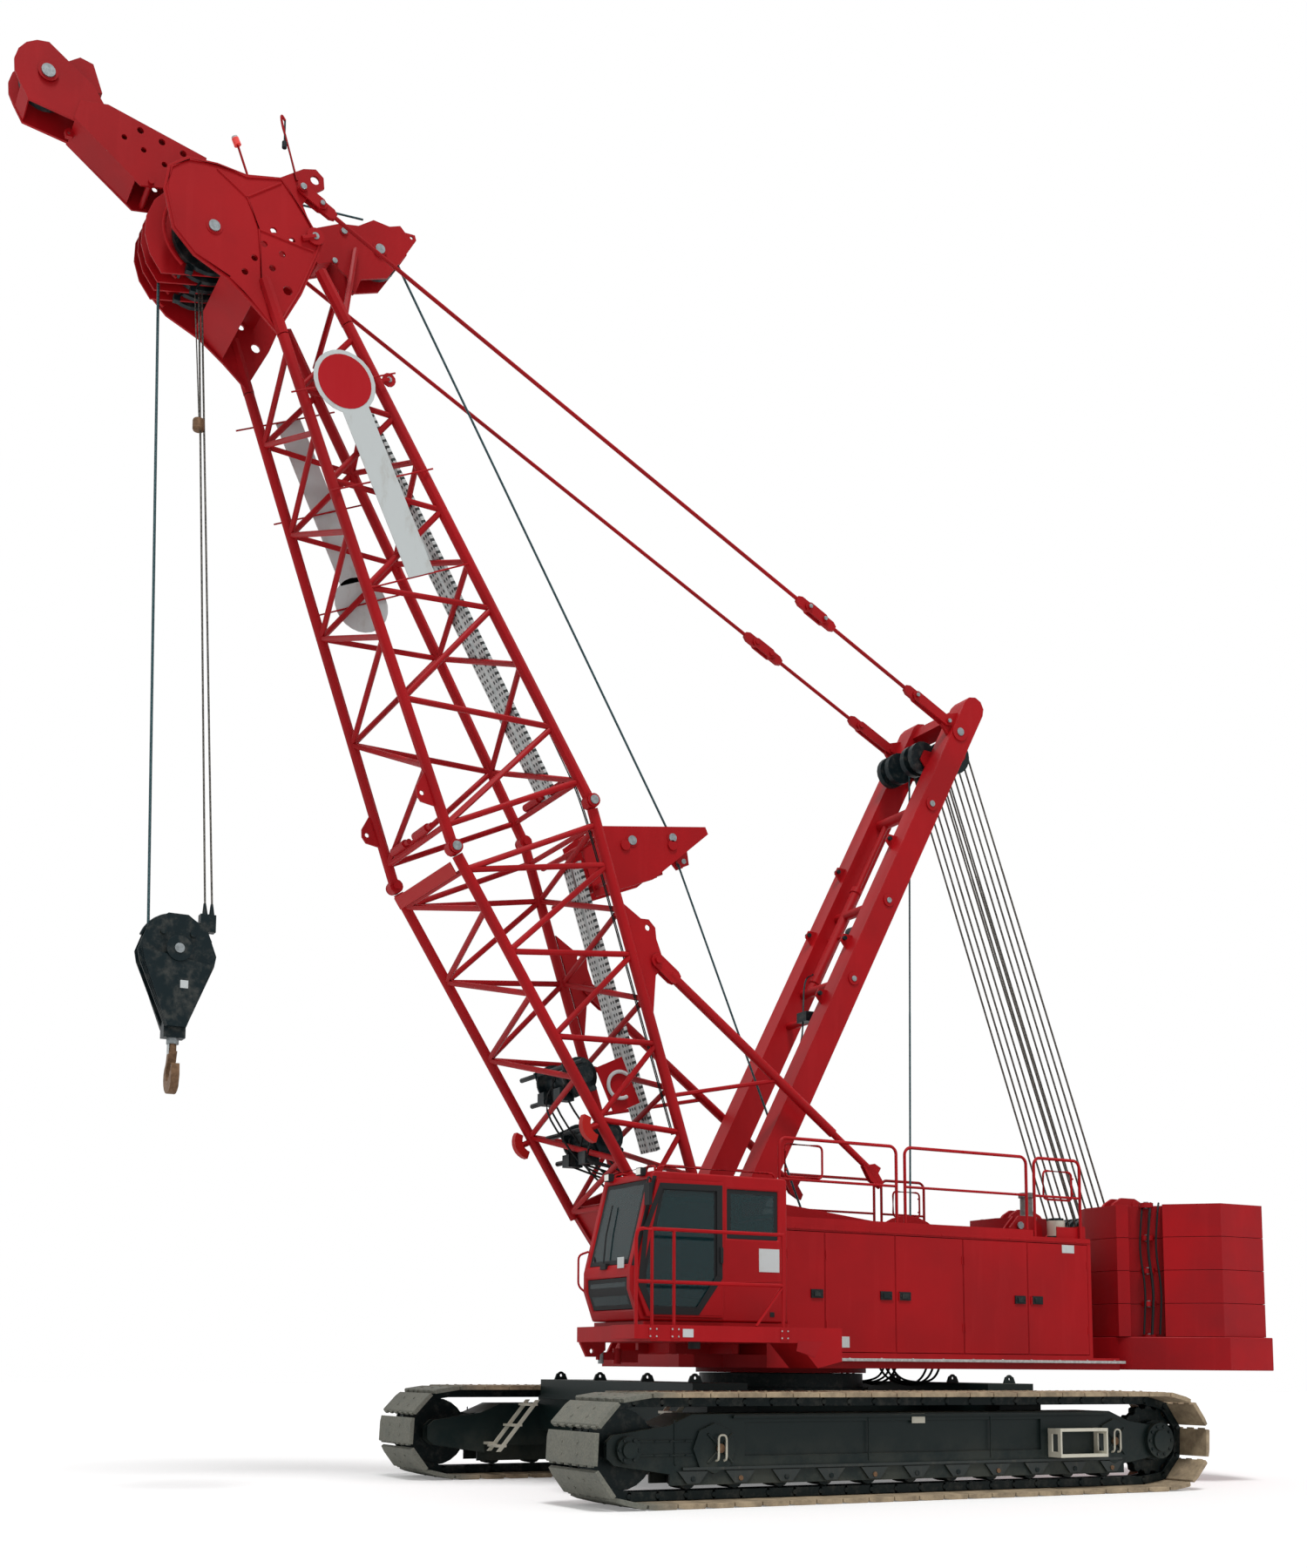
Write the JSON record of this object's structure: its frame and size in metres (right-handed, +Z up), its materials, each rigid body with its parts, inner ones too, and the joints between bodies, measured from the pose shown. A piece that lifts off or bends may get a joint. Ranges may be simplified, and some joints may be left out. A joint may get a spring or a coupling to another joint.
{
  "type": "crawler crane",
  "caption": "Lattice boom crawler crane with slewing house, luffing boom and mast, boom stops, pendants, hook block, cab and stacked counterweights",
  "frame": {"origin": "on the ground on the slewing axis", "axes": "X forward along the boom at rest, Y to the left, Z up"},
  "size_m": [15.2032, 5.561, 14.6122],
  "materials": {
    "red": "gloss",
    "dark_red": "satin",
    "frame_black": "satin",
    "shoe_steel": "dusty",
    "wheel_steel": "rough",
    "bright_steel": "brushed",
    "walkway": "perforated",
    "step_white": "satin",
    "glass": "tinted",
    "seat_black": "matte",
    "board_white": "satin",
    "hook_black": "satin",
    "hook_bronze": "worn",
    "sheave_dark": "greased",
    "exhaust_dark": "heat stained",
    "rope_steel": "greased"
  },
  "bodies": {
    "undercarriage": {"carbody": "frame_black", "slew_ring": "wheel_steel", "track_frame_left": "frame_black", "track_frame_right": "frame_black", "track_left": "shoe_steel", "track_right": "shoe_steel", "track_rollers": "wheel_steel", "idlers": "wheel_steel", "drive_sprockets": "wheel_steel", "frame_steps": "step_white"},
    "house": {"rotating_bed": "red", "housing_left": "red", "housing_right": "red", "bay_covers": "red", "engine_block": "wheel_steel", "deck_rails": "red", "counterweight_tray": "dark_red", "counterweight_slabs": "dark_red", "exhaust": "exhaust_dark", "cab_shell": "red", "cab_glass": "glass", "cab_seat": "seat_black", "cab_platform": "red"},
    "boom": {"boom_butt": "red", "boom_top": "red", "boom_head": "red", "boom_point": "red", "rope_deflector": "red", "rope_guide": "red", "boom_winches": "hook_black", "boom_walkways": "walkway", "sign_boards": "board_white", "boom_stops": "red", "pendants": "red"},
    "mast": {"mast": "red"},
    "drum_front": {"drum_front": "sheave_dark"},
    "drum_rear": {"drum_rear": "sheave_dark"},
    "nest_sheaves": {"nest_sheaves": "sheave_dark", "reeving_lower": "rope_steel"},
    "head_sheaves": {"head_sheaves": "sheave_dark"},
    "point_sheave": {"point_sheave": "sheave_dark"},
    "deflector_sheave": {"deflector_sheave": "sheave_dark"},
    "mast_sheaves": {"mast_sheaves": "sheave_dark", "reeving_upper": "rope_steel"},
    "mast_guide_sheave": {"mast_guide_sheave": "sheave_dark"},
    "hook_block": {"hook_block": "hook_black"},
    "hook": {"hook": "hook_bronze"},
    "cab_door": {"cab_door": "red", "cab_door_glass": "glass"},
    "door_left_0": {"door_left_0": "red"},
    "door_left_1": {"door_left_1": "red"},
    "door_left_2": {"door_left_2": "red"},
    "door_left_3": {"door_left_3": "red"},
    "door_left_4": {"door_left_4": "red"},
    "door_right_1": {"door_right_1": "red"},
    "door_right_2": {"door_right_2": "red"},
    "door_right_3": {"door_right_3": "red"},
    "door_right_4": {"door_right_4": "red"}
  },
  "joints": [
    {"name": "house_slew", "type": "hinge", "parent": "undercarriage", "child": "house", "pos_m": [0, 0, 1.27], "axis": [0, 0, 1], "continuous": true},
    {"name": "boom_luff", "type": "hinge", "parent": "house", "child": "boom", "pos_m": [1.38, 0, 1.9], "axis": [0, -1, 0], "range_deg": [-25, 10]},
    {"name": "mast_luff", "type": "hinge", "parent": "house", "child": "mast", "pos_m": [1.25, 0, 2.3], "axis": [0, -1, 0], "range_deg": [-26.4, 10.6]},
    {"name": "drum_front_turn", "type": "hinge", "parent": "house", "child": "drum_front", "pos_m": [-1.12, 0, 2.2], "axis": [0, -1, 0], "range_deg": [-23, 10]},
    {"name": "drum_rear_turn", "type": "hinge", "parent": "house", "child": "drum_rear", "pos_m": [-2.25, 0, 2.23], "axis": [0, -1, 0], "range_deg": [-25, 10]},
    {"name": "nest_swing", "type": "hinge", "parent": "house", "child": "nest_sheaves", "pos_m": [-4.76, 0, 3.06], "axis": [0, -1, 0], "range_deg": [-20, 9]},
    {"name": "head_plumb", "type": "hinge", "parent": "boom", "child": "head_sheaves", "pos_m": [7.25045, 0, 12.89773], "axis": [0, -1, 0], "range_deg": [-10, 25]},
    {"name": "point_sheave_turn", "type": "hinge", "parent": "boom", "child": "point_sheave", "pos_m": [8.88535, 0, 14.26227], "axis": [0, -1, 0], "continuous": true},
    {"name": "deflector_swing", "type": "hinge", "parent": "boom", "child": "deflector_sheave", "pos_m": [5.30665, 0, 13.53415], "axis": [0, -1, 0], "range_deg": [-2, 3]},
    {"name": "mast_nest_swing", "type": "hinge", "parent": "mast", "child": "mast_sheaves", "pos_m": [-2.50009, 0, 9.10007], "axis": [0, -1, 0], "range_deg": [-4, 8]},
    {"name": "mast_guide_swing", "type": "hinge", "parent": "mast", "child": "mast_guide_sheave", "pos_m": [-2.1216, 0, 9.00003], "axis": [0, -1, 0], "range_deg": [-2, 4]},
    {"name": "hoist", "type": "slide", "parent": "head_sheaves", "child": "hook_block", "axis": [0, 0, -1], "range_m": [-5, 3.6]},
    {"name": "hook_swivel", "type": "hinge", "parent": "hook_block", "child": "hook", "pos_m": [7.25, 0, 4.6], "axis": [0, 0, 1], "continuous": true},
    {"name": "cab_door_slide", "type": "slide", "parent": "house", "child": "cab_door", "axis": [-1, 0, 0], "range_m": [0, 0.72]},
    {"name": "door_left_0_open", "type": "hinge", "parent": "house", "child": "door_left_0", "pos_m": [0.913, 1.5, 2.15], "axis": [0, 0, -1], "range_deg": [0, 85]},
    {"name": "door_left_1_open", "type": "hinge", "parent": "house", "child": "door_left_1", "pos_m": [0.402, 1.5, 2.15], "axis": [0, 0, -1], "range_deg": [0, 85]},
    {"name": "door_left_2_open", "type": "hinge", "parent": "house", "child": "door_left_2", "pos_m": [-1.482, 1.5, 2.15], "axis": [0, 0, 1], "range_deg": [0, 85]},
    {"name": "door_left_3_open", "type": "hinge", "parent": "house", "child": "door_left_3", "pos_m": [-1.516, 1.5, 2.15], "axis": [0, 0, -1], "range_deg": [0, 85]},
    {"name": "door_left_4_open", "type": "hinge", "parent": "house", "child": "door_left_4", "pos_m": [-3.373, 1.5, 2.15], "axis": [0, 0, 1], "range_deg": [0, 85]},
    {"name": "door_right_1_open", "type": "hinge", "parent": "house", "child": "door_right_1", "pos_m": [0.402, -1.5, 2.15], "axis": [0, 0, 1], "range_deg": [0, 85]},
    {"name": "door_right_2_open", "type": "hinge", "parent": "house", "child": "door_right_2", "pos_m": [-1.482, -1.5, 2.15], "axis": [0, 0, -1], "range_deg": [0, 85]},
    {"name": "door_right_3_open", "type": "hinge", "parent": "house", "child": "door_right_3", "pos_m": [-1.516, -1.5, 2.15], "axis": [0, 0, 1], "range_deg": [0, 85]},
    {"name": "door_right_4_open", "type": "hinge", "parent": "house", "child": "door_right_4", "pos_m": [-3.373, -1.5, 2.15], "axis": [0, 0, -1], "range_deg": [0, 85]}
  ],
  "couplings": [
    {"joint": "mast_luff", "follows": "boom_luff", "ratio": 1.0532},
    {"joint": "drum_front_turn", "follows": "boom_luff", "ratio": 0.90496},
    {"joint": "drum_rear_turn", "follows": "boom_luff", "ratio": 0.96354},
    {"joint": "nest_swing", "follows": "boom_luff", "ratio": 0.76275},
    {"joint": "head_plumb", "follows": "boom_luff", "ratio": -1},
    {"joint": "deflector_swing", "follows": "boom_luff", "ratio": -0.09504},
    {"joint": "mast_nest_swing", "follows": "boom_luff", "ratio": -0.29043},
    {"joint": "mast_guide_swing", "follows": "boom_luff", "ratio": -0.08965}
  ]
}
